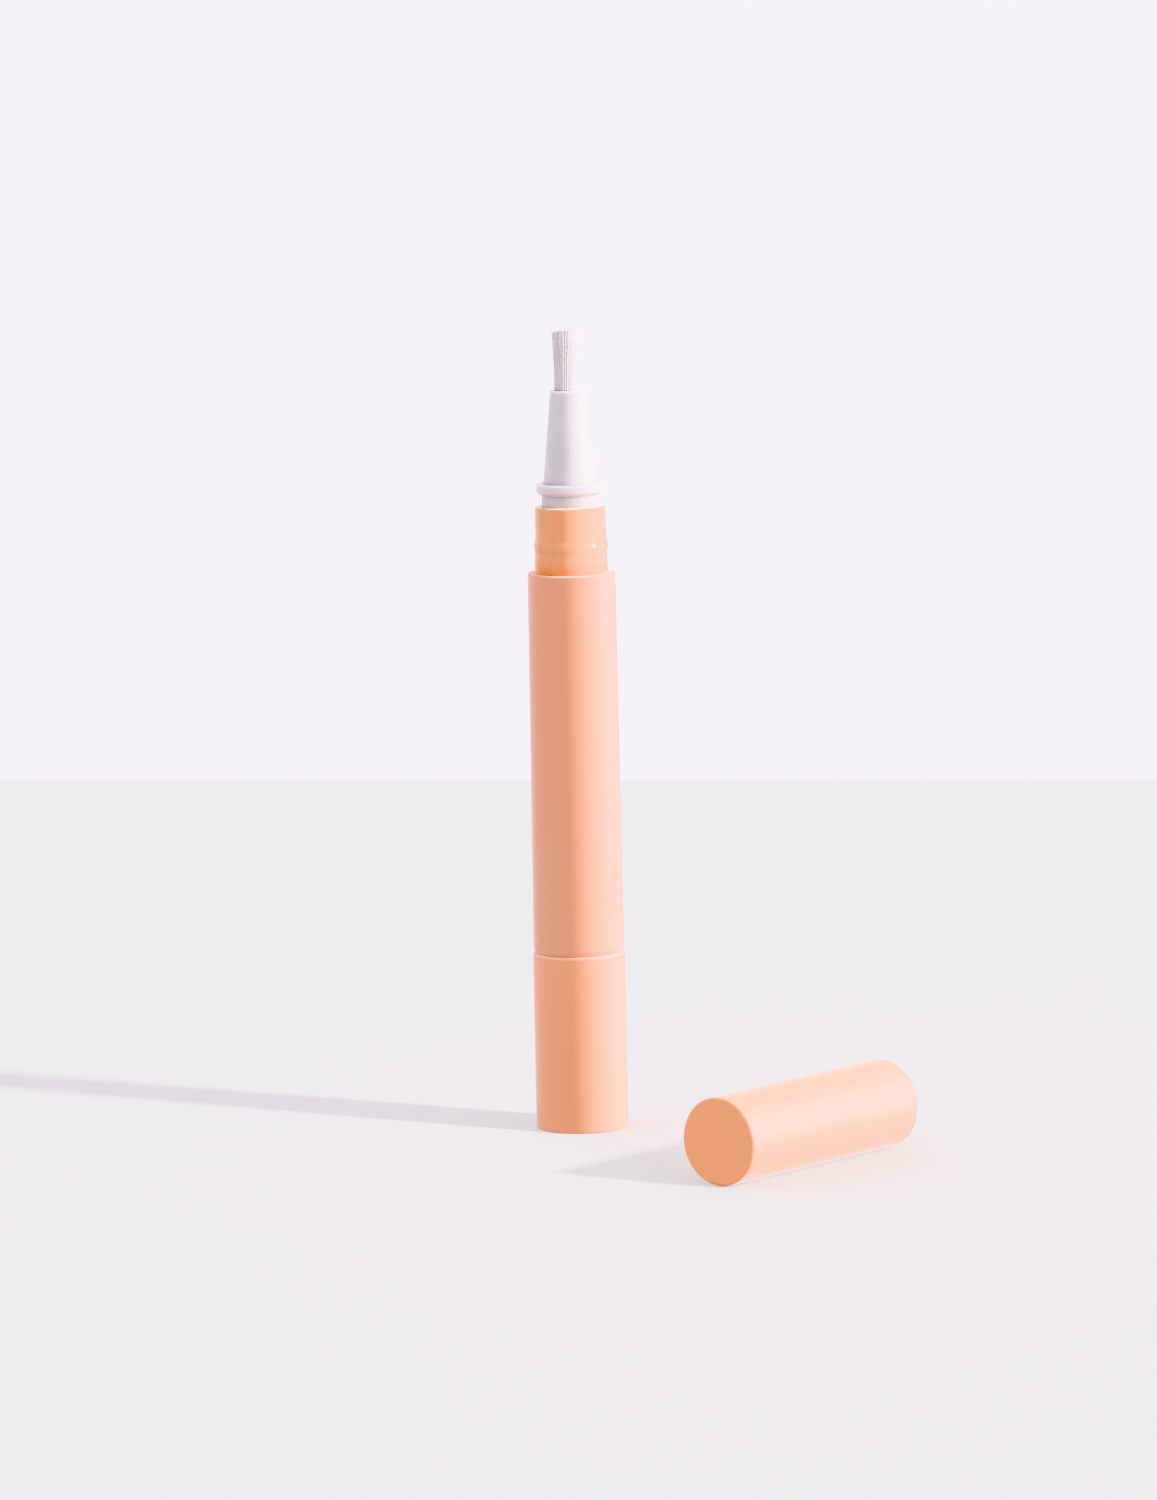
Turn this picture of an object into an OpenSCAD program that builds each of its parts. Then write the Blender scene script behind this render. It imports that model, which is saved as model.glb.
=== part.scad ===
// Twist-up nail oil pen with a brush tip, standing on its knob, with its cap off beside it.
// The pen's axis is the Z axis, and the foot of the knob is at zero height. The widths follow the
// barrel's, inwards to the reservoir's bore, and the heights are built up from the foot.

/* [Knob] */
// Height of the knob, from its foot to the seam
knob_h = 26.3; // [23:0.1:32]
// Wall of the knob's outer shell
knob_wall = 1.05; // [0.8:0.05:1.3]
// Distance that the knob stands proud of the barrel
knob_proud = 0.1; // [0:0.05:0.4]
// Radius that rounds the knob's foot
knob_foot_round = 0.3; // [0.2:0.05:0.7]
// Radius that rounds the knob's top edge, at the seam
knob_top_round = 0.45; // [0.2:0.05:0.7]
// Thickness of the plug that closes the knob
knob_plug_t = 2; // [1.2:0.1:3]

/* [Barrel] */
// Diameter of the barrel at the seam
barrel_d = 13.3; // [12.8:0.05:14]
// Length of the barrel, from the seam to the shoulder
barrel_len = 56.25; // [46:0.05:70]
// Wall of the barrel's sleeve at its shoulder
sleeve_wall = 1.2; // [0.9:0.05:1.6]
// Growth of the barrel's radius from its shoulder down to the seam
barrel_draft = 0.23; // [0:0.01:0.4]
// Gap at the seam between the knob and the barrel
seam_gap = 0.05; // [0.03:0.01:0.2]
// Distance that the barrel's lower edge draws in, at the seam
barrel_foot_inset = 0.18; // [0.05:0.01:0.3]
// Height over which the barrel's lower edge draws in
barrel_foot_rise = 0.6; // [0.2:0.05:1.2]
// Radius that rounds the barrel's shoulder
shoulder_round = 0.15; // [0.1:0.05:0.4]

/* [Reservoir tube] */
// Wall of the tube that holds the oil
tube_wall = 1; // [0.8:0.05:1.3]
// Length of neck that shows above the shoulder
neck_h = 9.8; // [8.5:0.1:14]
// Distance that the foot of the neck stands proud of the neck
neck_foot_proud = 0.14; // [0.1:0.01:0.18]
// Height of the foot of the neck
neck_foot_h = 2.3; // [1.5:0.1:3]
// Distance that the groove between the foot and the bead stands proud of the neck
neck_groove_proud = 0.09; // [0.04:0.01:0.1]
// Distance that the snap bead stands proud of the neck
bead_proud = 0.22; // [0.2:0.01:0.26]
// Height of the snap bead above the shoulder
bead_rise = 4; // [3.8:0.05:4.8]
// Width of the snap bead
bead_w = 1.8; // [1:0.1:2]

/* [Nozzle] */
// Depth of the nozzle's plug below the top of the neck
plug_depth = 6.6; // [5:0.1:8]
// Height of the plug that shows below the collar
plug_show = 1.8; // [1:0.1:2.6]
// Wall of the plug
plug_wall = 1.25; // [1.1:0.05:1.5]
// Distance that the collar stands proud of the plug
collar_proud = 0.775; // [0.5:0.025:0.9]
// Thickness of the collar
collar_h = 1.6; // [1.2:0.1:2.2]
// Distance that the foot of the cone stands back from the plug
cone_inset = 0.3; // [0.2:0.05:0.5]
// Height of the cone
cone_h = 13.7; // [12:0.1:16]
// Wall of the cone round its mouth
mouth_wall = 0.5; // [0.4:0.05:0.7]

/* [Brush] */
// Diameter of the brush where it leaves its ferrule
tuft_d = 3.16; // [2.8:0.02:3.3]
// Diameter of the brush at its tip
tuft_tip_d = 4.15; // [3.6:0.05:4.6]
// Length of brush that shows beyond the nozzle
tuft_show = 9; // [6:0.1:11]
// Height of the fused root that the ferrule holds
tuft_root_h = 1.8; // [1.4:0.1:2.4]

/* [Feed] */
// Outer diameter of the feed tube
feed_d = 1.6; // [1.3:0.05:1.8]
// Bore of the feed tube
feed_bore_d = 0.8; // [0.5:0.05:1]
// Height of the plug that holds the feed tube
feed_holder_h = 5; // [4:0.1:6]

/* [Drive] */
// Rise of the piston for one turn of the knob
lead = 4; // [3:0.5:5]
// Starts of the spindle's thread
starts = 2; // [1:1:3]
// Diameter of the spindle over its thread
spindle_d = 3.9; // [3.6:0.05:4.2]
// Depth of the spindle's thread
thread_depth = 0.5; // [0.3:0.05:0.55]
// Distance across the spindle's two flats
flats_w = 2.6; // [2.4:0.05:2.8]
// Length of spindle left below the nut at full stroke
nut_hold = 4.75; // [3:0.05:6]
// Length of the nut that is pressed into the driver sleeve
nut_seat_h = 5; // [4:0.1:7]
// Height of the ratchet ring
ratchet_h = 3.4; // [2.6:0.1:4.5]
// Number of ratchet teeth, one click each
ratchet_teeth = 12; // [10:1:16]
// Height of the bush that keys the spindle
guide_h = 3.6; // [2.8:0.1:5]
// Height of the piston
piston_h = 8; // [6.6:0.1:10]

/* [Cap] */
// Room between the tip of the brush and the inside of the cap
cap_headroom = 0.7; // [0.4:0.1:4]
// Thickness of the cap's closed end
cap_end_t = 1.4; // [1:0.1:2]
// Radius that rounds the edge of the cap's closed end
cap_end_round = 0.55; // [0.2:0.05:0.9]
// Wall of the inner cap
liner_wall = 0.8; // [0.6:0.05:1]
// Distance from the pen's axis to the axis of the cap that lies beside it
cap_x = 47.8; // [30:0.1:60]
// Distance of the cap's mouth beyond the pen's axis
cap_mouth_y = 10.8; // [0:0.1:20]

/* [Fits] */
// Radial gap of pieces that are pressed together
press_fit = 0.02; // [0.01:0.005:0.03]
// Radial gap of the nozzle's plug in the neck
plug_fit = 0.05; // [0.03:0.01:0.08]
// Radial gap of the cap on the neck
cap_fit = 0.04; // [0.03:0.01:0.06]
// Radial gap of pieces that turn or slide in each other
run_fit = 0.05; // [0.03:0.01:0.08]
// Radial gap of the thread
thread_fit = 0.12; // [0.1:0.01:0.14]
// Gap between faces that turn past each other
face_gap = 0.15; // [0.1:0.01:0.2]

/* [Hidden] */

$fn = 96;
// Overrun of every cut past the face that it opens
over = 1;

// Colours
satin_peach = [0.96, 0.72, 0.55];
deep_peach = [0.93, 0.60, 0.38];
milk_white = [0.95, 0.94, 0.95];
clear_white = [0.88, 0.89, 0.90];
bristle_grey = [0.86, 0.84, 0.87];
seal_grey = [0.55, 0.56, 0.58];
spindle_blue = [0.62, 0.70, 0.78];
drive_ivory = [0.90, 0.86, 0.76];

// Radii of the barrel, the tube, the knob and the cap, from the barrel's outside in to the bore
barrel_r = barrel_d / 2;
shoulder_r = barrel_r - barrel_draft;
sleeve_bore_r = shoulder_r - sleeve_wall;
tube_r = sleeve_bore_r - press_fit;
bore_r = tube_r - tube_wall;
neck_foot_r = tube_r + neck_foot_proud;
neck_groove_r = tube_r + neck_groove_proud;
bead_r = tube_r + bead_proud;
knob_r = barrel_r + knob_proud;
knob_bore_r = knob_r - knob_wall;
driver_r = knob_bore_r - press_fit;
cap_r = shoulder_r;
cap_bore_r = neck_foot_r + cap_fit;

// Radii of the drive: the ratchet fits the bore, the click ring fits the nut, and the pawls reach
// across what is left between them
ratchet_wall = 0.38;
tooth_depth = 0.35;
ratchet_r = bore_r - press_fit;
tooth_root_r = ratchet_r - ratchet_wall;
tooth_crest_r = tooth_root_r - tooth_depth;
// Share of a tooth's pitch that its steep side takes
tooth_back_share = 0.08;
root_r = spindle_d / 2 - thread_depth;
flat_r = flats_w / 2;
nut_hub_wall = 0.38;
nut_hub_r = spindle_d / 2 + thread_fit + nut_hub_wall;
nut_hub_flat = 0.2;
click_wall = 0.33;
click_ring_r = nut_hub_r + press_fit + click_wall;
click_tip_r = tooth_crest_r - run_fit;
click_arm_t = 0.35;
click_arm_gap = 0.25;
click_nose_w = 0.5;

// Heights of the outside, from the foot up
barrel_z0 = knob_h + seam_gap;
shoulder_z = barrel_z0 + barrel_len;
neck_top_z = shoulder_z + neck_h;
plug_z0 = neck_top_z - plug_depth;
collar_z0 = neck_top_z + plug_show;
cone_z0 = collar_z0 + collar_h;
mouth_z = cone_z0 + cone_h;
tuft_top_z = mouth_z + tuft_show;

// The drive is stacked from the spindle's foot up, and the stroke is what the reservoir leaves it
spindle_foot_gap = 1;
piston_gap = 0.4;
end_gap = 1;
nut_flange_t = 0.5;
nut_flange_inset = 0.25;
spindle_z0 = knob_plug_t + spindle_foot_gap;
drive_stack_h = nut_seat_h + nut_flange_t + face_gap + ratchet_h + guide_h + piston_gap + piston_h;
stroke = (plug_z0 - end_gap - spindle_z0 - nut_hold - drive_stack_h) / 2;
nut_z0 = spindle_z0 + stroke + nut_hold;
driver_top_z = nut_z0 + nut_seat_h;
nut_flange_top_z = driver_top_z + nut_flange_t;
ratchet_z0 = nut_flange_top_z + face_gap;
guide_z0 = ratchet_z0 + ratchet_h;
guide_top_z = guide_z0 + guide_h;
nut_top_z = guide_z0 - face_gap;
piston_z0 = guide_top_z + piston_gap;
piston_top_z = piston_z0 + piston_h;
echo(stroke_mm = stroke, knob_degrees = 360 * stroke / lead);

// Lower end of the reservoir tube, and the spigot of the driver sleeve that turns in it
tube_recess = 0.6;
tube_z0 = barrel_z0 + tube_recess;
tube_lead_in = 0.3;
neck_rim_bevel = 0.2;
bead_steps = 10;
spigot_wall = 1.05;
spigot_r = bore_r - run_fit;
spigot_bore_r = spigot_r - spigot_wall;
drag_rise = 2.1;
drag_section_r = 0.3;
snap_rise = 4.6;
snap_h = 0.9;
snap_proud = 0.22;
snap_bevel = 0.2;
snap_z0 = tube_z0 + snap_rise;

// Driver sleeve and plug inside the knob
plug_skirt_h = 2.5;
plug_skirt_wall = 0.8;
driver_z0 = knob_plug_t + plug_skirt_h;
driver_foot_h = 1.6;
driver_flange_h = 2.2;
driver_rib_w = 0.8;
driver_ribs = 6;
thrust_collar_inset = 0.1;

// Spindle, with a rounded thread; sides and steps set how finely it is drawn
thread_sides = 20;
thread_steps = 6;
thread_over = 1.2;
thread_fade = 0.8;
thread_z0 = nut_z0 - stroke - thread_over;
thread_z1 = nut_top_z + thread_over;
spindle_foot_bevel = 0.3;
head_neck_inset = 1;
head_neck_r = spindle_d / 2 - head_neck_inset;
head_neck_h = 1.4;
head_inset = 0.45;
head_r = spindle_d / 2 - head_inset;
head_h = 2.2;
head_cone_h = 1.5;
head_tip_inset = 1.15;
head_tip_r = spindle_d / 2 - head_tip_inset;

// Piston
piston_section_r = 0.4;
piston_lip_h = 1;
piston_lip_slope = 0.3;
piston_waist = 0.3;
piston_nose_h = 1.2;
piston_nose_slope = 2.8;
piston_nose_r = bore_r - piston_nose_slope;
ring_slack = 0.06;

// Brush: strands of three sides stand on a sheared grid of cells, one to a cell
tuft_rings = 10;
strand_sides = 3;
strand_levels = 3;
tuft_edge_share = 0.3;
tuft_cells_r = tuft_rings - tuft_edge_share;
// Share of the cells' spacing that a strand's radius takes
strand_share = 0.4;
// Share of the cells' spacing from a cell's middle to its far corner
cell_corner_share = 0.87;
cell = tuft_d / 2 / (tuft_cells_r + cell_corner_share);
tip_flare = tuft_tip_d / tuft_d;
lean_heading = 220;
lean_mouth = 0.45;
lean_tip = 0.14;
tip_round = 0.55;
tip_ragged = 0.12;
// Angles that a strand's place in the grid turns its raggedness by
ragged_steps = [97, 151, 31];
// Angle of a strand's first side
strand_turn = 30;

// Outside of the nozzle
plug_r = bore_r - plug_fit;
plug_bore_r = plug_r - plug_wall;
plug_lead_in = 0.3;
collar_r = plug_r + collar_proud;
collar_bevel = 0.45;
collar_round = 0.08;
cone_r = plug_r - cone_inset;
mouth_gap = 0.12;
mouth_r = tuft_d / 2 + lean_mouth + mouth_gap;
cone_tip_r = mouth_r + mouth_wall;
mouth_land = 0.7;
mouth_round = 0.12;
mouth_lip_h = 0.6;
mouth_lip_gap = 0.08;
lip_pilot_r = tuft_d / 2 - lean_mouth;

// Inside of the nozzle, and the pieces in it
nozzle_section_r = 0.35;
nozzle_ring_rise = 1.6;
nozzle_ring_z = plug_z0 + nozzle_ring_rise;
throat_h = 2;
ferrule_drop = 4.9;
ferrule_catch = 0.13;
ferrule_ledge_h = 0.2;
ferrule_ledge_w = 0.45;
ferrule_r = mouth_r + ferrule_catch;
ferrule_bore_r = tuft_d / 2 + run_fit;
ferrule_z1 = mouth_z - ferrule_drop;
tuft_z0 = ferrule_z1 - tuft_root_h;
ferrule_z0 = tuft_z0 - ferrule_ledge_h;
holder_rise = 0.5;
holder_z0 = plug_z0 + holder_rise;
funnel_h = 1.4;
funnel_wall = 0.7;
feed_z0 = holder_z0 + funnel_h;

// Cap, drawn upright from its mouth and then laid on its side
cap_seat_gap = 0.2;
cap_mouth_round = 0.2;
cap_bore_over = 0.3;
cap_bore_h = neck_h + cap_bore_over;
cap_step = 0.18;
snap_groove_slack = 0.1;
liner_seat_r = cap_bore_r - cap_step;
liner_lip_h = 0.8;
liner_end_t = 0.8;
liner_z0 = cone_z0 - shoulder_z - cap_seat_gap + cap_bore_over;
liner_z1 = tuft_top_z - shoulder_z - cap_seat_gap + cap_headroom + liner_end_t;
cap_len = liner_z1 + cap_end_t;

// A round bar with a bore
module tube(outer_r, inner_r, z0, z1) {
    translate([0, 0, z0]) difference() {
        cylinder(r = outer_r, h = z1 - z0);
        translate([0, 0, -over]) cylinder(r = inner_r, h = z1 - z0 + 2 * over);
    }
}

// What a groove for a ring takes off the outside of a bar: the ring's middle is at height z
module ring_groove(floor_r, section_r, z) {
    half_w = section_r + ring_slack;
    difference() {
        translate([0, 0, z - half_w]) cylinder(r = bore_r + over, h = 2 * half_w);
        translate([0, 0, z - half_w - over]) cylinder(r = floor_r, h = 2 * (half_w + over));
    }
}

// A ring of round section that seals against the reservoir's bore
function ring_inner_r(section_r) = bore_r - press_fit - 2 * section_r;
module bore_ring(section_r, z) {
    translate([0, 0, z]) rotate_extrude()
        translate([bore_r - press_fit - section_r, 0]) circle(r = section_r);
}

// What a fillet takes off the corner at [r, z]; up is 1 for a top corner and -1 for a bottom one
module corner_cut(r, z, fillet, up) {
    translate([r, z]) mirror([0, up < 0 ? 1 : 0]) difference() {
        translate([-fillet, -fillet]) square(fillet + over);
        translate([-fillet, -fillet]) circle(r = fillet);
    }
}

// Knob

module knob_shell() {
    color(satin_peach) rotate_extrude() difference() {
        polygon([[knob_bore_r, 0], [knob_r, 0], [knob_r, knob_h], [knob_bore_r, knob_h]]);
        corner_cut(knob_r, 0, knob_foot_round, -1);
        corner_cut(knob_r, knob_h, knob_top_round, 1);
    }
}

module knob_plug() {
    color(satin_peach) difference() {
        cylinder(r = driver_r, h = driver_z0);
        translate([0, 0, knob_plug_t])
            cylinder(r = driver_r - plug_skirt_wall, h = plug_skirt_h + over);
    }
}

module driver_sleeve() {
    color(drive_ivory) difference() {
        union() {
            tube(spigot_r, spigot_bore_r, driver_z0, driver_top_z);
            tube(driver_r, spigot_bore_r, driver_z0, driver_z0 + driver_foot_h);
            tube(driver_r, spigot_bore_r, knob_h - driver_flange_h, knob_h);
            tube(tube_r - thrust_collar_inset, spigot_bore_r, knob_h - over, tube_z0 - face_gap);
            for (i = [0 : driver_ribs - 1]) rotate([0, 0, 360 * i / driver_ribs])
                translate([spigot_bore_r + spigot_wall / 2, -driver_rib_w / 2, driver_z0])
                cube([driver_r - spigot_r, driver_rib_w, knob_h - driver_z0 - driver_flange_h / 2]);
            rotate_extrude() polygon([
                [spigot_bore_r, snap_z0], [spigot_r, snap_z0],
                [spigot_r + snap_proud, snap_z0 + snap_h / 2],
                [spigot_r + snap_proud, snap_z0 + snap_h - snap_bevel],
                [spigot_r, snap_z0 + snap_h], [spigot_bore_r, snap_z0 + snap_h]
            ]);
        }
        ring_groove(ring_inner_r(drag_section_r) - press_fit, drag_section_r, tube_z0 + drag_rise);
    }
}

module drag_ring() {
    color(seal_grey) bore_ring(drag_section_r, tube_z0 + drag_rise);
}

// Drive

// The nut's hub and the click ring's hole share this outline
module hub_outline(gap) {
    intersection() {
        circle(r = nut_hub_r + gap);
        square([2 * (nut_hub_r + over), 2 * (nut_hub_r - nut_hub_flat + gap)], center = true);
    }
}

module drive_nut() {
    color(drive_ivory) difference() {
        union() {
            translate([0, 0, nut_z0]) cylinder(r = spigot_bore_r - press_fit, h = nut_seat_h);
            translate([0, 0, driver_top_z]) cylinder(r = spigot_r - nut_flange_inset, h = nut_flange_t);
            translate([0, 0, driver_top_z]) linear_extrude(nut_top_z - driver_top_z) hub_outline(0);
        }
        nut_thread();
    }
}

module click_ring() {
    arm_r = (click_ring_r + click_arm_gap + click_arm_t + click_ring_r) / 2;
    arm_shift = arm_r - click_ring_r;
    nose_r = arm_r + arm_shift - click_arm_t / 2;
    color(clear_white) translate([0, 0, ratchet_z0]) linear_extrude(nut_top_z - ratchet_z0 - face_gap)
        difference() {
            union() {
                circle(r = click_ring_r);
                for (turn = [0, 180]) rotate(turn) {
                    // A sprung arm that leaves the ring a quarter turn before its nose
                    intersection() {
                        translate([arm_shift, 0]) difference() {
                            circle(r = arm_r);
                            circle(r = arm_r - click_arm_t);
                        }
                        square(click_tip_r);
                    }
                    polygon([[nose_r, 0], [click_tip_r, 0], [nose_r, click_nose_w]]);
                }
            }
            hub_outline(press_fit);
        }
}

module ratchet_ring() {
    pitch = 360 / ratchet_teeth;
    color(drive_ivory) translate([0, 0, ratchet_z0]) difference() {
        cylinder(r = ratchet_r, h = ratchet_h);
        translate([0, 0, -over]) linear_extrude(ratchet_h + 2 * over) polygon([
            for (i = [0 : ratchet_teeth - 1]) for (share = [0, tooth_back_share])
                (share == 0 ? tooth_crest_r : tooth_root_r)
                    * [cos(pitch * (i + share)), sin(pitch * (i + share))]
        ]);
    }
}

module spindle_guide() {
    key_r = spindle_d / 2 + 2 * run_fit;
    color(drive_ivory) difference() {
        translate([0, 0, guide_z0]) cylinder(r = ratchet_r, h = guide_h);
        translate([0, 0, guide_z0 - over]) linear_extrude(guide_h + 2 * over) intersection() {
            circle(r = key_r);
            square([flats_w + 2 * run_fit, 2 * (key_r + over)], center = true);
        }
    }
}

// Left-handed rounded thread: 0 at its root and 1 at its crest, at height z and angle a
function thread_rise(z, a) = (1 - cos(360 * starts * (z / lead + a / 360))) / 2;

// Closed solid of rings of points about the axis. Each ring is [height, radius, thread depth, flat],
// and flat is the distance of the two flats from the axis.
module polar_solid(rings) {
    n = thread_sides;
    last = len(rings) - 1;
    points = [for (ring = rings) for (i = [0 : n - 1])
        let (a = 360 * i / n, thread_r = ring[1] + ring[2] * thread_rise(ring[0], a))
        let (r = min(thread_r, ring[3] / max(abs(cos(a)), ring[3] / (thread_r + over))))
        [r * cos(a), r * sin(a), ring[0]]];
    faces = concat(
        [[for (i = [0 : n - 1]) i]],
        [[for (i = [0 : n - 1]) last * n + n - 1 - i]],
        [for (k = [0 : last - 1]) for (i = [0 : n - 1]) let (j = (i + 1) % n)
            [k * n + i, (k + 1) * n + i, (k + 1) * n + j]],
        [for (k = [0 : last - 1]) for (i = [0 : n - 1]) let (j = (i + 1) % n)
            [k * n + i, (k + 1) * n + j, k * n + j]]
    );
    polyhedron(points, faces);
}

function thread_step() = lead / starts / thread_steps;
function ramp(z, z0, z1) = min(1, (z - z0) / thread_fade, (z1 - z) / thread_fade);

module spindle() {
    turns_n = ceil((thread_z1 - thread_z0) / thread_step());
    step = (thread_z1 - thread_z0) / turns_n;
    head_z0 = piston_z0 + head_neck_h;
    color(spindle_blue) polar_solid(concat(
        [[spindle_z0, root_r - spindle_foot_bevel, 0, flat_r],
         [spindle_z0 + spindle_foot_bevel, root_r, 0, flat_r]],
        [for (k = [0 : turns_n]) let (z = thread_z0 + k * step)
            [z, root_r, thread_depth * ramp(z, thread_z0, thread_z1), flat_r]],
        [[thread_z1 + thread_step(), spindle_d / 2, 0, flat_r], [piston_z0, spindle_d / 2, 0, flat_r],
         [piston_z0, head_neck_r, 0, flat_r], [head_z0, head_neck_r, 0, flat_r],
         [head_z0, head_r, 0, flat_r], [head_z0 + head_h - head_cone_h, head_r, 0, flat_r],
         [head_z0 + head_h, head_tip_r, 0, flat_r]]
    ));
}

// The thread that the nut is cut with: the spindle's own, wider by the thread's fit
module nut_thread() {
    z0 = nut_z0 - over;
    z1 = nut_top_z + over;
    steps_n = ceil((z1 - z0) / thread_step());
    polar_solid([for (k = [0 : steps_n])
        [z0 + (z1 - z0) * k / steps_n, root_r + thread_fit, thread_depth, spindle_d]]);
}

// Piston

module piston() {
    lip_r = bore_r - press_fit;
    waist_r = lip_r - piston_waist;
    top_lip_z = piston_top_z - piston_nose_h;
    ring_z = (piston_z0 + top_lip_z) / 2;
    color(milk_white) difference() {
        rotate_extrude() polygon([
            [0, piston_z0], [lip_r, piston_z0], [lip_r, piston_z0 + piston_lip_h],
            [waist_r, piston_z0 + piston_lip_h + piston_lip_slope],
            [waist_r, top_lip_z - piston_lip_h - piston_lip_slope],
            [lip_r, top_lip_z - piston_lip_h], [lip_r, top_lip_z],
            [piston_nose_r, piston_top_z], [0, piston_top_z]
        ]);
        ring_groove(ring_inner_r(piston_section_r) - press_fit, piston_section_r, ring_z);
        translate([0, 0, piston_z0 - over])
            cylinder(r = head_neck_r + run_fit, h = head_neck_h + 2 * over);
        translate([0, 0, piston_z0 + head_neck_h - run_fit])
            cylinder(r = head_r + run_fit, h = head_h + 2 * run_fit);
    }
}

module piston_ring() {
    color(seal_grey) bore_ring(piston_section_r, (piston_z0 + piston_top_z - piston_nose_h) / 2);
}

// Barrel and reservoir

module barrel_sleeve() {
    color(satin_peach) rotate_extrude() difference() {
        polygon([
            [sleeve_bore_r, barrel_z0], [barrel_r - barrel_foot_inset, barrel_z0],
            [barrel_r, barrel_z0 + barrel_foot_rise],
            [shoulder_r, shoulder_z], [sleeve_bore_r, shoulder_z]
        ]);
        corner_cut(shoulder_r, shoulder_z, shoulder_round, 1);
    }
}

// Profile of the snap bead, from z0 up to z1: it swells between the radii of its two ends
function bead_line(z0, z1, r0, r1) = [for (k = [0 : bead_steps])
    let (share = k / bead_steps, swell = bead_r - (r0 + r1) / 2)
    [r0 + (r1 - r0) * share + swell * sin(180 * share), z0 + (z1 - z0) * share]];

module reservoir_tube() {
    bead_z = shoulder_z + bead_rise;
    foot_z1 = shoulder_z + neck_foot_h;
    groove_r = bore_r + snap_proud;
    color(deep_peach) rotate_extrude() polygon(concat(
        [[bore_r + tube_lead_in, tube_z0], [tube_r, tube_z0], [tube_r, shoulder_z],
         [neck_foot_r, shoulder_z], [neck_foot_r, foot_z1 - neck_foot_proud],
         [neck_groove_r, foot_z1]],
        bead_line(bead_z - bead_w / 2, bead_z + bead_w / 2, neck_groove_r, tube_r),
        [[tube_r, neck_top_z - neck_rim_bevel], [tube_r - neck_rim_bevel, neck_top_z],
         [bore_r, neck_top_z],
         [bore_r, snap_z0 + snap_h + face_gap], [groove_r, snap_z0 + snap_h + face_gap],
         [groove_r, snap_z0 - face_gap], [bore_r, snap_z0 - face_gap - snap_bevel],
         [bore_r, tube_z0 + tube_lead_in]]
    ));
}

// Nozzle

module nozzle() {
    throat_z0 = ferrule_z0 - throat_h;
    seat_r = ferrule_r + press_fit;
    color(milk_white) difference() {
        rotate_extrude() difference() {
            polygon([
                [plug_bore_r, plug_z0], [plug_r - plug_lead_in, plug_z0], [plug_r, plug_z0 + plug_lead_in],
                [plug_r, collar_z0], [collar_r - collar_bevel, collar_z0],
                [collar_r, collar_z0 + collar_bevel], [collar_r, cone_z0],
                [cone_r, cone_z0], [cone_tip_r, mouth_z - mouth_land], [cone_tip_r, mouth_z],
                [lip_pilot_r, mouth_z], [lip_pilot_r, mouth_z - mouth_lip_h],
                [mouth_r, mouth_z - mouth_lip_h],
                [mouth_r, ferrule_z1], [seat_r, ferrule_z1], [seat_r, ferrule_z0],
                [plug_bore_r, throat_z0]
            ]);
            corner_cut(collar_r, cone_z0, collar_round, 1);
            corner_cut(cone_tip_r, mouth_z, mouth_round, 1);
        }
        // The hole in the mouth's lip stands off the axis, which leans the brush to one side
        translate([lean_mouth * lean_way.x, lean_mouth * lean_way.y, mouth_z - mouth_lip_h - over])
            cylinder(r = tuft_d / 2 + mouth_lip_gap, h = mouth_lip_h + 2 * over);
        ring_groove(ring_inner_r(nozzle_section_r) - press_fit, nozzle_section_r, nozzle_ring_z);
    }
}

module nozzle_seal_ring() {
    color(seal_grey) bore_ring(nozzle_section_r, nozzle_ring_z);
}

module feed_holder() {
    holder_r = plug_bore_r - press_fit;
    color(clear_white) difference() {
        translate([0, 0, holder_z0]) cylinder(r = holder_r, h = feed_holder_h);
        translate([0, 0, holder_z0 - over])
            cylinder(r = feed_d / 2 + press_fit, h = feed_holder_h + 2 * over);
        translate([0, 0, holder_z0]) cylinder(r1 = holder_r - funnel_wall, r2 = feed_d / 2, h = funnel_h);
    }
}

module feed_tube() {
    color(clear_white) tube(feed_d / 2, feed_bore_d / 2, feed_z0, tuft_z0);
}

module brush_ferrule() {
    color(clear_white) difference() {
        tube(ferrule_r, ferrule_bore_r - ferrule_ledge_w, ferrule_z0, ferrule_z1);
        translate([0, 0, tuft_z0]) cylinder(r = ferrule_bore_r, h = tuft_root_h + over);
    }
}

// Brush

function cell_at(i, j) = cell * [i + j / 2, j * sin(60)];
function in_tuft(i, j) = norm(cell_at(i, j)) <= tuft_cells_r * cell;
function ragged(i, j) = tip_ragged * sin([i, j, i * j] * ragged_steps);
lean_way = [cos(lean_heading), sin(lean_heading)];
// Height of a strand's tip: the side that the brush leans to is rounded off
function tip_z(i, j) =
    let (side = cell_at(i, j) * lean_way / (tuft_d / 2))
    tuft_top_z - tip_ragged - tip_round * pow(max(0, side), 3) + ragged(i, j);

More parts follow.
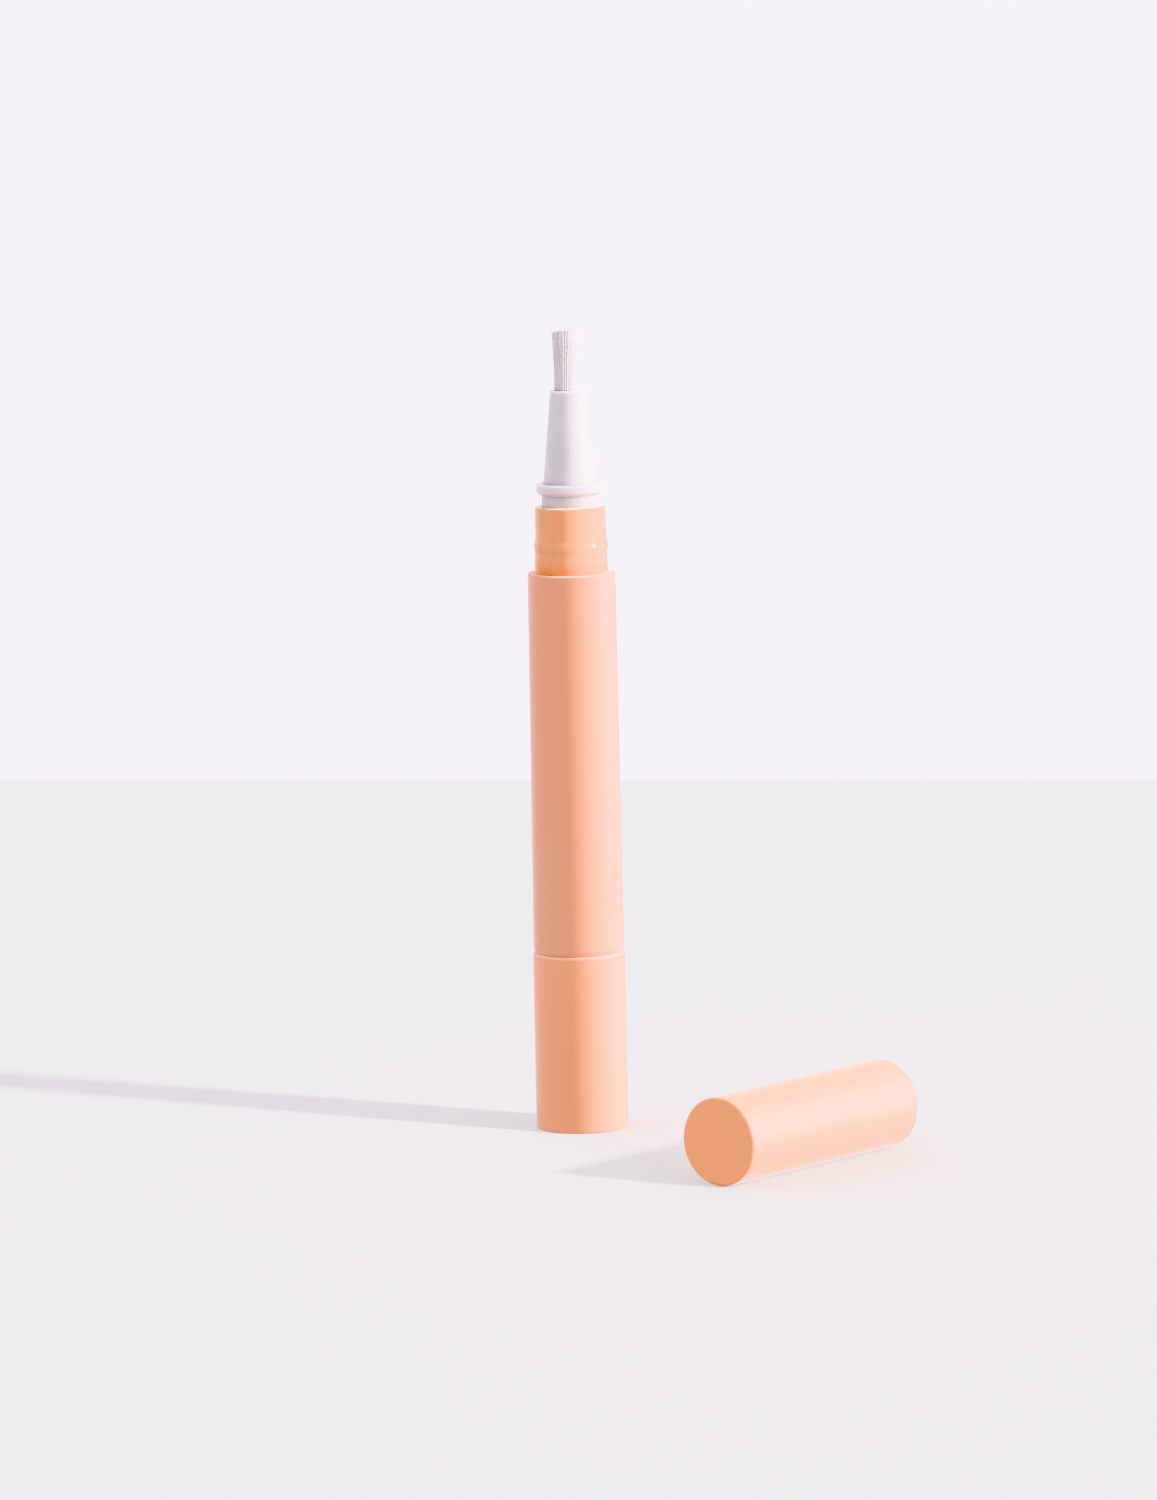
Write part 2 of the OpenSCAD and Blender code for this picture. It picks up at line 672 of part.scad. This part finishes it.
module brush_tuft() {
    reach = ceil(tuft_cells_r / sin(60));
    side_n = 2 * reach + 2;
    strands = [for (i = [-reach : reach]) for (j = [-reach : reach]) if (in_tuft(i, j)) [i, j]];
    // Corners of the cells, on the root's top and then on its foot
    corners = [for (z = [ferrule_z1, tuft_z0]) for (i = [0 : side_n - 1]) for (j = [0 : side_n - 1])
        let (p = cell_at(i - reach - 0.5, j - reach - 0.5)) [p.x, p.y, z]];
    // Three rings of points for each strand: root, nozzle's mouth and tip
    strand_points = [for (s = strands) let (p = cell_at(s.x, s.y))
        for (level = [
            [ferrule_z1, p, 1],
            [mouth_z, p + lean_mouth * lean_way, 1],
            [tip_z(s.x, s.y), p * tip_flare + lean_tip * lean_way, tip_flare]
        ])
        for (k = [0 : strand_sides - 1]) let (a = strand_turn + 360 * k / strand_sides)
            [level[1].x + strand_share * cell * level[2] * cos(a),
             level[1].y + strand_share * cell * level[2] * sin(a), level[0]]];
    foot = side_n * side_n;
    strand_n = strand_levels * strand_sides;
    function corner(i, j) = (i + reach) * side_n + j + reach;
    root_faces = [for (n = [0 : len(strands) - 1])
        let (i = strands[n].x, j = strands[n].y, t = 2 * foot + strand_n * n)
        let (a = corner(i, j), b = corner(i + 1, j), c = corner(i + 1, j + 1), d = corner(i, j + 1))
        for (face = [
            [c, t, d], [t, t + 1, d], [d, t + 1, a], [t + 1, t + 2, a],
            [a, t + 2, b], [b, t + 2, c], [t + 2, t, c],
            [a + foot, b + foot, c + foot], [a + foot, c + foot, d + foot]
        ]) face];
    side_faces = [for (s = strands)
        let (i = s.x, j = s.y)
        let (a = corner(i, j), b = corner(i + 1, j), c = corner(i + 1, j + 1), d = corner(i, j + 1))
        for (edge = [[i, j - 1, a, b], [i + 1, j, b, c], [i, j + 1, c, d], [i - 1, j, d, a]])
        if (!in_tuft(edge[0], edge[1]))
            for (face = [
                [edge[2] + foot, edge[2], edge[3]],
                [edge[2] + foot, edge[3], edge[3] + foot]
            ]) face];
    // First point of each ring of a strand that has another ring above it
    rings = [for (n = [0 : len(strands) - 1]) for (level = [0 : strand_levels - 2])
        2 * foot + strand_n * n + strand_sides * level];
    strand_faces = [for (t = rings) for (k = [0 : strand_sides - 1])
        let (u = t + strand_sides, m = (k + 1) % strand_sides)
        for (face = [[t + k, u + k, u + m], [t + k, u + m, t + m]]) face];
    tip_faces = [for (n = [1 : len(strands)])
        let (t = 2 * foot + strand_n * n - strand_sides) [t + 2, t + 1, t]];
    faces = concat(root_faces, side_faces, strand_faces, tip_faces);
    echo(strands = len(strands), faces = len(faces));
    color(bristle_grey) polyhedron(concat(corners, strand_points), faces);
}

// Cap

module lay_cap() {
    translate([cap_x, cap_mouth_y, cap_r]) rotate([90, 0, 0]) children();
}

module cap_shell() {
    bead_z = bead_rise - cap_seat_gap;
    groove_half = bead_w / 2 + snap_groove_slack;
    groove_r = bead_r + cap_fit;
    color(satin_peach) lay_cap() rotate_extrude() difference() {
        polygon([
            [cap_bore_r, 0], [cap_r, 0], [cap_r, cap_len], [0, cap_len], [0, liner_z1],
            [liner_seat_r, liner_z1], [liner_seat_r, cap_bore_h], [cap_bore_r, cap_bore_h],
            [cap_bore_r, bead_z + groove_half], [groove_r, bead_z + groove_half],
            [groove_r, bead_z - groove_half], [cap_bore_r, bead_z - groove_half]
        ]);
        corner_cut(cap_r, cap_len, cap_end_round, 1);
        corner_cut(cap_r, 0, cap_mouth_round, -1);
    }
}

module cap_liner() {
    outer_r = liner_seat_r - press_fit;
    inner_r = outer_r - liner_wall;
    lip_r = cone_r + 2 * cap_fit;
    color(milk_white) lay_cap() rotate_extrude() polygon([
        [lip_r, liner_z0], [outer_r, liner_z0], [outer_r, liner_z1], [0, liner_z1],
        [0, liner_z1 - liner_end_t], [inner_r, liner_z1 - liner_end_t],
        [inner_r, liner_z0 + liner_lip_h], [lip_r, liner_z0 + liner_lip_h / 2]
    ]);
}

knob_shell();
knob_plug();
driver_sleeve();
drag_ring();
drive_nut();
click_ring();
barrel_sleeve();
reservoir_tube();
ratchet_ring();
spindle_guide();
spindle();
piston();
piston_ring();
nozzle();
nozzle_seal_ring();
feed_holder();
feed_tube();
brush_ferrule();
brush_tuft();
cap_shell();
cap_liner();
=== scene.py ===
# %% [markdown]
# # A twist-up nail oil pen
#
# A slim peach pen stands on its knob, and its cap lies beside it. Turning the knob pushes oil
# through a white nozzle into a short, soft brush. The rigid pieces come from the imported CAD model,
# already in place, so this lesson gives them their surfaces and builds the one soft piece, the
# brush, hair by hair. It ends with a table top, a light and a camera like a product photographer's.

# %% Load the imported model
import math
import random

import bpy
from mathutils import Matrix, Vector


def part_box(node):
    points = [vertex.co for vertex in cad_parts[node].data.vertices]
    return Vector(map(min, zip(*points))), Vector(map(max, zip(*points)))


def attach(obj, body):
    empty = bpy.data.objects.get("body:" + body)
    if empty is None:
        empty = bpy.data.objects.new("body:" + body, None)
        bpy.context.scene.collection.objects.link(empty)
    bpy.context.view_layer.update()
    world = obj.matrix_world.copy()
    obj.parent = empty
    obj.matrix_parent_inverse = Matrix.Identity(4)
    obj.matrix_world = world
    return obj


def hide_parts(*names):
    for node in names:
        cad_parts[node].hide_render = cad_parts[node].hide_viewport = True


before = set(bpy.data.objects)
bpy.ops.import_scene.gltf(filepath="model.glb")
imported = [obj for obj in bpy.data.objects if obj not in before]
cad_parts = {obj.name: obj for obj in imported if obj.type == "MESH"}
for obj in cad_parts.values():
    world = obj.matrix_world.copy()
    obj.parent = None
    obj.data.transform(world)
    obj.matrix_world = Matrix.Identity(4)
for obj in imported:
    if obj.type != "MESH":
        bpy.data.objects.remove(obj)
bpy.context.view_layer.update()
print("pieces:", len(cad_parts))

# %% [markdown]
# ## Camera
#
# A product photographer stands far back with a long lens, which keeps the sides of a slim pen
# parallel. The camera here is 1.4 m away, looks down by about 8 degrees, and is rolled by about a
# degree. Building its three axes from yaw, pitch and roll by hand keeps each of them a plain,
# readable number, where a Track To constraint would hide them.

# %% Place the camera
MM = 0.001
IMAGE_WIDTH, IMAGE_HEIGHT = 1157, 1500
heading = math.radians(39.5)
right = Vector((math.cos(heading), math.sin(heading), 0))
away = Vector((-math.sin(heading), math.cos(heading), 0))
up = Vector((0, 0, 1))

camera_distance = 1.4
camera_rise = math.radians(10)
camera_yaw, camera_pitch, camera_roll = (math.radians(a) for a in (0.023, 7.719, -1.153))
focal_px = 9446.6

camera_data = bpy.data.cameras.new("camera")
camera_data.sensor_width = 36
camera_data.lens = focal_px / IMAGE_HEIGHT * camera_data.sensor_width
camera_data.clip_end = 20
camera = bpy.data.objects.new("camera", camera_data)
bpy.context.scene.collection.objects.link(camera)
bpy.context.scene.camera = camera

camera_place = camera_distance * (math.sin(camera_rise) * up - math.cos(camera_rise) * away)
look = (
    math.cos(camera_pitch) * (math.sin(camera_yaw) * right + math.cos(camera_yaw) * away)
    - math.sin(camera_pitch) * up
)
side = look.cross(up).normalized()
top = side.cross(look)
side, top = (
    math.cos(camera_roll) * side + math.sin(camera_roll) * top,
    math.cos(camera_roll) * top - math.sin(camera_roll) * side,
)
turn = Matrix((side, top, -look)).transposed().to_4x4()
camera.matrix_world = Matrix.Translation(camera_place) @ turn
print("camera at", tuple(round(v, 3) for v in camera_place))
print("lens", round(camera_data.lens, 1), "mm")


# %% [markdown]
# ## Shader maths in plain Python
#
# A material is a graph of nodes, and wiring it by hand hides what it says. This small class wraps
# an output socket. Its operators add Math nodes for numbers and Vector Math nodes for colours and
# places, because a Math node would turn a colour grey. Every other node comes from `node`.

# %% Wire: one socket, with operators
class Wire:
    """An output socket of a material's nodes."""

    def __init__(self, socket):
        self.socket = socket

    def node(self, kind, settings, values, out=0):
        """A new node of that kind: its settings first, then its sockets' values or links."""
        made = self.socket.id_data.nodes.new(kind)
        for name, setting in settings.items():
            setattr(made, name, setting)
        for name, value in values.items():
            plug(value, made.inputs[name])
        return Wire(made.outputs[out])

    def maths(self, operation, first, second):
        kind, pair = "ShaderNodeMath", (first, second)
        if any(isinstance(w, Wire) and w.socket.type != "VALUE" for w in pair):
            kind = "ShaderNodeVectorMath"
            pair = [w if isinstance(w, (Wire, tuple)) else (w,) * 3 for w in pair]
        return self.node(kind, {"operation": operation}, {0: pair[0], 1: pair[1]})

    def __add__(self, other):
        return self.maths("ADD", self, other)

    def __sub__(self, other):
        return self.maths("SUBTRACT", self, other)

    def __rsub__(self, other):
        return self.maths("SUBTRACT", other, self)

    def __mul__(self, other):
        return self.maths("MULTIPLY", self, other)

    __radd__, __rmul__ = __add__, __mul__

    def between(self, low, high):
        """0 where this wire is at low or less, 1 at high or more."""
        values = {"Value": self, "From Min": low, "From Max": high}
        return self.node("ShaderNodeMapRange", {"interpolation_type": "SMOOTHSTEP"}, values)

    def mix(self, first, second):
        """The first colour where this wire is 0, and the second where it is 1."""
        return self.node("ShaderNodeMix", {"data_type": "RGBA"}, {0: self, 6: first, 7: second}, 2)


def plug(value, socket):
    """Links a wire to a socket, or sets the socket's own value."""
    if isinstance(value, Wire):
        socket.id_data.links.new(value.socket, socket)
    else:
        socket.default_value = value


def tone(red, green, blue):
    """A colour from 0 to 255 as a screen shows it, in the linear light that shaders work in."""
    levels = (level / 255 for level in (red, green, blue))
    return (*(v / 12.92 if v <= 0.04045 else ((v + 0.055) / 1.055) ** 2.4 for v in levels), 1)


def start_finish(name, **constants):
    """A new material: it, its shader, and the wire that says where a point is, in metres."""
    material = bpy.data.materials.new(name)
    material.use_nodes = True
    shader = material.node_tree.nodes["Principled BSDF"]
    for socket, value in constants.items():
        shader.inputs[socket.replace("_", " ")].default_value = value
    place = material.node_tree.nodes.new("ShaderNodeTexCoord")
    return material, shader, Wire(place.outputs["Object"])


def blots(place, size, detail=2, stretch=(1, 1, 1)):
    """Noise from 0 to 1 with blots of about that size in metres."""
    values = {"Vector": place * stretch, "Scale": 1 / size, "Detail": detail}
    return place.node("ShaderNodeTexNoise", {}, values)


def height_of(place):
    """The height above the floor, in metres."""
    return place.node("ShaderNodeSeparateXYZ", {}, {"Vector": place}, 2)


def dents(height, depth):
    """The normal of a surface whose blots are that deep, in metres."""
    values = {"Height": height, "Distance": depth}
    return height.node("ShaderNodeBump", {}, values)


print("shader helpers ready")

# %% [markdown]
# ## Table top
#
# The pen stands on a pale sheet that ends in a level line, with paler space behind it. A sheet
# could be bent up into a wall, but a wall would hide the pen from behind, so it just stops at
# that line. Its far edge is found by sending two rays from the camera, through the ends of the
# line in the picture, to the floor. The sheet glows a little by itself, as a light table does,
# because in the picture its shadows are much paler than those on the pen.

# %% Floor
def floor_point(column, row):
    """The point of the floor that the camera sees at that pixel of the picture."""
    ray = (
        look * focal_px
        + side * (column - IMAGE_WIDTH / 2)
        + top * (IMAGE_HEIGHT / 2 - row)
    )
    return camera_place - ray * (camera_place.z / ray.z)


FAR_EDGE_ROW = 780
FLOOR_SPREAD, FLOOR_REACH = 2.5, 4.0
edge_left = floor_point(0, FAR_EDGE_ROW)
edge_right = floor_point(IMAGE_WIDTH, FAR_EDGE_ROW)
along = (edge_right - edge_left).normalized()
corners = [
    edge_left - along * FLOOR_SPREAD,
    edge_right + along * FLOOR_SPREAD,
    edge_right + along * FLOOR_SPREAD - away * FLOOR_REACH,
    edge_left - along * FLOOR_SPREAD - away * FLOOR_REACH,
]
floor_mesh = bpy.data.meshes.new("floor")
floor_mesh.from_pydata(corners, [], [(3, 2, 1, 0)])
floor = bpy.data.objects.new("floor", floor_mesh)
bpy.context.scene.collection.objects.link(floor)

material, shader, place = start_finish("floor_sheet", Roughness=0.9, Emission_Strength=0.565)
mottle = blots(place, 0.05, 3)
plug(mottle.mix((0.147, 0.143, 0.147, 1), (0.153, 0.149, 0.153, 1)), shader.inputs["Base Color"])
plug(0.2, shader.inputs["Specular IOR Level"])
plug((0.98, 0.955, 0.99, 1), shader.inputs["Emission Color"])
floor_mesh.materials.append(material)
print("far edge of the floor:", round((edge_left + edge_right).length / 2, 3), "m behind the pen")

# %% [markdown]
# ## Backdrop and tone curve
#
# The backdrop is the world itself: one pale pink white all around, which is also the soft light
# that fills the shadows. The tone curve is the neutral one, because it lets a peach that is lit
# very strongly turn cream, as film does, and not orange.

# %% Backdrop
BACKDROP = (1.355, 1.316, 1.374, 1)
world = bpy.data.worlds.new("pale_room")
world.use_nodes = True
bpy.context.scene.world = world
world.node_tree.nodes["Background"].inputs["Color"].default_value = BACKDROP
bpy.context.scene.view_settings.view_transform = "Khronos PBR Neutral"
print("backdrop:", BACKDROP[:3], "shown through", bpy.context.scene.view_settings.view_transform)

# %% [markdown]
# ## Light
#
# The shadows lie to the left and a little back, twice as long as the pen is tall, and their edges
# soften slowly. That is one small, low lamp on the right, a little in front. A sun lamp has
# parallel rays, so it lights the whole table evenly, and its angle sets how soft the shadows are.
# The broad cream band on the pen's right comes from a tall, strong window of light close by.
# Light linking lets each lamp do one job: the key draws the shadows on the table, and the window
# shapes the peach pieces without adding a second shadow. White plastic would burn out in it, so
# the nozzle and the brush get a window behind a scrim: wider, softer and at a third of the
# strength. The glossy neck gets a small, low lamp from the same side, which leaves a small glint
# on its bead and no streak on its straight part.

# %% Key light and window
def aim(front, rise):
    """The direction to a lamp on the right, turned to the front and raised by those degrees."""
    front, rise = math.radians(front), math.radians(rise)
    level = math.cos(front) * right - math.sin(front) * away
    return math.cos(rise) * level + math.sin(rise) * up


def place_lamp(data, direction, distance):
    lamp = bpy.data.objects.new(data.name, data)
    turn = direction.to_track_quat("Z", "Y").to_matrix().to_4x4()
    lamp.matrix_world = Matrix.Translation(direction * distance) @ turn
    bpy.context.scene.collection.objects.link(lamp)
    return lamp


KEY_AIM, WINDOW_AIM, GLINT_AIM = aim(30, 26), aim(0, 17), aim(11, 10)
WINDOW_HEIGHT, WINDOW_DISTANCE = 0.9, 0.92


def add_sun(name, energy, degrees, direction):
    data = bpy.data.lights.new(name, "SUN")
    data.energy, data.angle = energy, math.radians(degrees)
    return place_lamp(data, direction, 1)


def add_window(name, width, energy):
    data = bpy.data.lights.new(name, "AREA")
    data.shape = "RECTANGLE"
    data.size, data.size_y = width, WINDOW_HEIGHT
    data.energy = energy
    lamp = place_lamp(data, WINDOW_AIM, WINDOW_DISTANCE)
    lamp.visible_camera = False
    return lamp


def light_only(lamp, lit):
    """Keeps a lamp's light off everything but these objects."""
    receivers = bpy.data.collections.new("lit_by_" + lamp.name)
    for thing in lit:
        receivers.objects.link(thing)
    lamp.light_linking.receiver_collection = receivers
    return receivers


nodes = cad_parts
others = [node for name, node in nodes.items() if name not in ("nozzle", "reservoir_tube")]
light_only(add_sun("key", 10.2, 4, KEY_AIM), [floor])
light_only(add_window("window", 0.35, 110), others)
light_only(add_sun("glint", 25, 9, GLINT_AIM), [nodes["reservoir_tube"]])
white_pieces = light_only(add_window("scrim", 0.8, 36), [nodes["nozzle"]])
print("key light from", tuple(round(v, 2) for v in KEY_AIM))
print("windows from", tuple(round(v, 2) for v in WINDOW_AIM))


# %% [markdown]
# ## Satin peach plastic
#
# The barrel, the knob and the cap have a soft, satin coat: no mirror anywhere, a wide soft
# gradient, and a mauve edge where it grazes away from the eye. A rough shader with a little sheen
# gives both. Very fine grain breaks up the gloss, and slow clouds of a deeper peach keep large
# areas from looking like flat paint. The knob and the cap come from another batch, a bit warmer.
# A paler line is painted round the knob's rounded top edge at the seam: a painted highlight where
# that edge catches the light.

# %% Satin finishes
def satin(name, light_tone, deep_tone, gloss, sheen, highlight_from=None, highlight_to=None, highlight_tone=None):
    material, shader, place = start_finish(
        name,
        Specular_IOR_Level=gloss,
        Sheen_Weight=sheen,
        Sheen_Roughness=0.4,
        Sheen_Tint=(0.96, 0.93, 1.0, 1),
        Subsurface_Weight=0.08,
        Subsurface_Radius=(1.0, 0.45, 0.25),
        Subsurface_Scale=0.0012,
    )
    clouds = blots(place, 0.012, 3, (1, 1, 0.4))
    grain = blots(place, 0.00014)
    coat = clouds.between(0.25, 0.75).mix(light_tone, deep_tone)
    # A painted highlight: a paler band of base colour between two heights, where a rounded edge
    # catches the light.
    if highlight_tone:
        coat = height_of(place).between(highlight_from, highlight_to).mix(coat, highlight_tone)
    plug(coat, shader.inputs["Base Color"])
    plug(0.44 + 0.1 * grain, shader.inputs["Roughness"])
    plug(dents(grain, 0.000006), shader.inputs["Normal"])
    return material


knob_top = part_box("knob_shell")[1].z
barrel_satin = satin("barrel_satin", tone(212, 153, 122), tone(210, 150, 119), 0.2, 0.7)
# The knob's last three arguments paint that highlight as a paler band just under its top edge.
knob_satin = satin(
    "knob_satin", tone(220, 157, 120), tone(217, 154, 117), 0.25, 0.6,
    knob_top - 0.5 * MM, knob_top - 0.2 * MM, tone(234, 180, 150),
)
cap_satin = satin("cap_satin", tone(226, 156, 111), tone(223, 152, 106), 0.4, 0.5)
print("satin finishes:", barrel_satin.name, knob_satin.name, cap_satin.name)

# %% [markdown]
# ## Glossy neck
#
# The neck is the end of the bare reservoir tube. It is uncoated, so it shines, and light sinks a
# little way into it. Where it leaves the barrel, a deeper orange glow is painted into its colour,
# standing in for light that shines through it and bounces off the barrel's shoulder. The gloss is
# one low roughness, and the painted glow is a colour that deepens over the last two millimetres.

# %% Neck finish
material, shader, place = start_finish(
    "reservoir_gloss",
    IOR=1.49,
    Specular_IOR_Level=0.2,
    Sheen_Weight=0.5,
    Sheen_Roughness=0.4,
    Subsurface_Weight=0.2,
    Subsurface_Radius=(1.0, 0.4, 0.12),
    Subsurface_Scale=0.002,
)
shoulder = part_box("barrel_sleeve")[1].z
PAINTED_GLOW_HEIGHT = 2.2 * MM
painted_glow_mask = height_of(place).between(shoulder + PAINTED_GLOW_HEIGHT, shoulder)
streaks = blots(place, 0.0016, 2, (1, 1, 0.12))
neck_tone = streaks.between(0.3, 0.7).mix(tone(218, 156, 116), tone(214, 151, 108))
# Painted glow: the base colour turns a deep orange near the shoulder, in place of light shining
# through the neck and bouncing off the barrel.
plug((0.65 * painted_glow_mask).mix(neck_tone, tone(224, 128, 48)), shader.inputs["Base Color"])
plug(0.14 + 0.04 * streaks, shader.inputs["Roughness"])
plug(dents(streaks, 0.00001), shader.inputs["Normal"])
neck_gloss = material
print("neck finish from", round(shoulder / MM, 1), "mm up")

# %% [markdown]
# ## Milky nozzle
#
# The nozzle, the inner cap and the piston are polypropylene: white, slightly see-through at thin
# edges, and waxy to the eye. Subsurface scattering gives the soft shading of a waxy plastic, which
# plain white paint doesn't have.

# %% Milky and other moulded finishes
def moulded(name, light_tone, deep_tone, roughness, glow, flow=(1, 1, 0.15)):
    """Bare moulded plastic: slow flow marks in its tone and gloss, and light that sinks in."""
    material, shader, place = start_finish(
        name,
        IOR=1.49,
        Subsurface_Weight=glow,
        Subsurface_Radius=(1.0, 0.9, 0.95),
        Subsurface_Scale=0.0025,
    )
    marks = blots(place, 0.0022, 3, flow)
    skin = blots(place, 0.00025)
    plug(marks.between(0.25, 0.75).mix(light_tone, deep_tone), shader.inputs["Base Color"])
    plug(roughness + 0.08 * (marks - 0.5), shader.inputs["Roughness"])
    plug(dents(skin, 0.000006), shader.inputs["Normal"])
    return material


milk = moulded("milk_white", tone(196, 189, 192), tone(192, 185, 188), 0.36, 0.7)
clear = moulded("clear_white", tone(214, 216, 220), tone(205, 208, 214), 0.3, 0.4)
ivory = moulded("drive_ivory", tone(226, 218, 196), tone(220, 211, 186), 0.4, 0.1)
blue = moulded("spindle_blue", tone(160, 182, 205), tone(150, 174, 200), 0.38, 0.15)
rubber = moulded("seal_grey", tone(92, 94, 98), tone(84, 86, 90), 0.62, 0.0, (1, 1, 1))
print("moulded finishes:", milk.name, clear.name, ivory.name, blue.name, rubber.name)

# %% [markdown]
# ## Dress the rigid pieces
#
# Each CAD piece keeps its shape and gets its finish through its material slots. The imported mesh
# brings normals of its own, so rounds already read as round and edges as edges.

# %% Hand out the finishes
FINISHES = {
    barrel_satin: ["barrel_sleeve"],
    knob_satin: ["knob_shell", "knob_plug"],
    cap_satin: ["cap_shell"],
    neck_gloss: ["reservoir_tube"],
    milk: ["nozzle", "cap_liner", "piston"],
    clear: ["feed_holder", "feed_tube", "brush_ferrule", "click_ring"],
    ivory: ["driver_sleeve", "drive_nut", "ratchet_ring", "spindle_guide"],
    blue: ["spindle"],
    rubber: ["drag_ring", "piston_ring", "nozzle_seal_ring"],
}
for finish, names in FINISHES.items():
    for name in names:
        mesh = nodes[name].data
        mesh.materials.clear()
        mesh.materials.append(finish)
        print(name, "<-", finish.name, "own normals", mesh.has_custom_normals)

# %% [markdown]
# ## The brush
#
# The brush is a round bundle of about seven hundred soft nylon hairs, held in a ferrule inside the
# nozzle. They lean to one side of the nozzle's mouth, then fan out to a nearly flat tip with one
# corner rounded. Particle hair would not export as a mesh, so each hair is its own slim, closed
# tube. The hairs stand on a hexagonal grid and all bend alike, so none crosses another. The grid is
# turned so that no row of it points at the camera, which would let it look through the bundle.
# Small seeded differences in length and tone keep the hairs from looking combed by a machine.

# %% Where the brush is
root_z, tip_z = (corner.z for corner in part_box("brush_tuft"))
ferrule_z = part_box("brush_ferrule")[1].z
mouth_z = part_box("nozzle")[1].z
BUNDLE_R = 1.56 * MM
TIP_R = 2.06 * MM
HAIRS_ACROSS = 29
LEAN_HEADING = math.radians(220)
lean = Vector((math.cos(LEAN_HEADING), math.sin(LEAN_HEADING), 0))
LEAN_AT_MOUTH, LEAN_AT_TIP = 0.45 * MM, 0.2 * MM
HAIR_SIDES, HAIR_RINGS = 5, 8
HAIR_START_Z = ferrule_z - 0.6 * MM
random.seed(7)
print("brush from", round(root_z / MM, 1), "to", round(tip_z / MM, 1), "mm")
print("mouth at", round(mouth_z / MM, 1), "mm")


# %% The line of one hair
def hair_line(foot, hair_tip_z, stray):
    """Points and spreads along a hair that starts at that foot, a vector across the bundle."""
    line = []
    for k in range(HAIR_RINGS):
        share = k / (HAIR_RINGS - 1)
        z = HAIR_START_Z + (hair_tip_z - HAIR_START_Z) * share
        inside = min(max((z - ferrule_z) / (mouth_z - ferrule_z), 0), 1)
        outside = min(max((z - mouth_z) / (tip_z - mouth_z), 0), 1)
        spread = 1 + (TIP_R / BUNDLE_R - 1) * outside ** 1.8
        offset = LEAN_AT_MOUTH * inside + (LEAN_AT_TIP - LEAN_AT_MOUTH) * outside
        line.append((foot * spread + lean * offset + stray * outside ** 2 + up * z, spread))
    return line


spacing = 2 * BUNDLE_R / HAIRS_ACROSS
hair_r = 0.49 * spacing
GRID_TURN = Matrix.Rotation(math.radians(24.5), 3, "Z")
feet = []
cells = range(-HAIRS_ACROSS, HAIRS_ACROSS + 1)
for i in cells:
    for j in cells:
        foot = GRID_TURN @ Vector(((i + j / 2) * spacing, j * math.sqrt(3) / 2 * spacing, 0))
        if foot.length <= BUNDLE_R - hair_r:
            feet.append(foot)
print("hairs:", len(feet), "each", round(2 * hair_r / MM, 3), "mm thick")

# %% A closed tube from rings
points, faces = [], []


def add_tube(rings, sides):
    """A closed tube through rings, each a centre and a radius, from its lower end up."""
    first = len(points)
    for centre, radius in rings:
        for s in range(sides):
            angle = 2 * math.pi * s / sides
            points.append(centre + radius * Vector((math.cos(angle), math.sin(angle), 0)))
    for start in range(first, len(points) - sides, sides):
        for s in range(sides):
            a, b = start + s, start + (s + 1) % sides
            faces.append((a, b, b + sides, a + sides))
    faces.append(tuple(first + s for s in reversed(range(sides))))
    faces.append(tuple(len(points) - sides + s for s in range(sides)))


# %% Build the hairs and their fused root
TIP_ROUND, RAGGED, STRAY = 0.5 * MM, 0.1 * MM, 0.04 * MM
TIP_GAP = 0.02 * MM
TIP_TAPER = 0.6
for foot in feet:
    lean_share = foot.dot(lean) / BUNDLE_R
    rounding = TIP_ROUND * max(0, lean_share) ** 3
    hair_tip_z = tip_z - rounding - random.uniform(0, RAGGED) - TIP_GAP
    stray = foot.normalized() * random.uniform(-STRAY, STRAY) * (foot.length / BUNDLE_R)
    rings = [(centre, hair_r * spread) for centre, spread in hair_line(foot, hair_tip_z, stray)]
    rings[-1] = (rings[-1][0], rings[-1][1] * TIP_TAPER)
    add_tube(rings, HAIR_SIDES)

ROOT_SIDES, ROOT_BEVEL = 48, 0.1 * MM
add_tube(
    [
        (up * root_z, BUNDLE_R - ROOT_BEVEL),
        (up * (root_z + ROOT_BEVEL), BUNDLE_R),
        (up * ferrule_z, BUNDLE_R),
    ],
    ROOT_SIDES,
)

brush_mesh = bpy.data.meshes.new("brush_hairs")
brush_mesh.from_pydata(points, [], faces)
brush_mesh.polygons.foreach_set("use_smooth", [len(f) == 4 for f in faces])
brush = bpy.data.objects.new("brush_hairs", brush_mesh)
bpy.context.scene.collection.objects.link(brush)
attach(brush, "barrel")
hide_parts("brush_tuft")
white_pieces.objects.link(brush)
print("brush:", len(points), "points,", len(faces), "faces")

# %% [markdown]
# Nylon hair is clear, so a bundle of it looks pale grey where the hairs shade each other, and
# nearly white at the tip, where each one catches the light. The tone therefore rises with height,
# and noise that is fine across the bundle and long along it gives each hair its own.

# %% Hair finish
material, shader, place = start_finish(
    "brush_nylon", IOR=1.53, Roughness=0.5, Specular_IOR_Level=0.25,
)
PALE_FROM, PALE_TO = 3.2 * MM, 0.6 * MM
near_tip = height_of(place).between(tip_z - PALE_FROM, tip_z - PALE_TO)
each_hair = blots(place, 0.00013, 1, (1, 1, 0.02))
hair_tone = each_hair.between(0.3, 0.7).mix(tone(208, 200, 203), tone(221, 214, 217))
plug(near_tip.mix(hair_tone, tone(226, 221, 224)), shader.inputs["Base Color"])
plug(dents(each_hair, 0.00001), shader.inputs["Normal"])
brush_mesh.materials.append(material)
print("hair finish:", material.name)
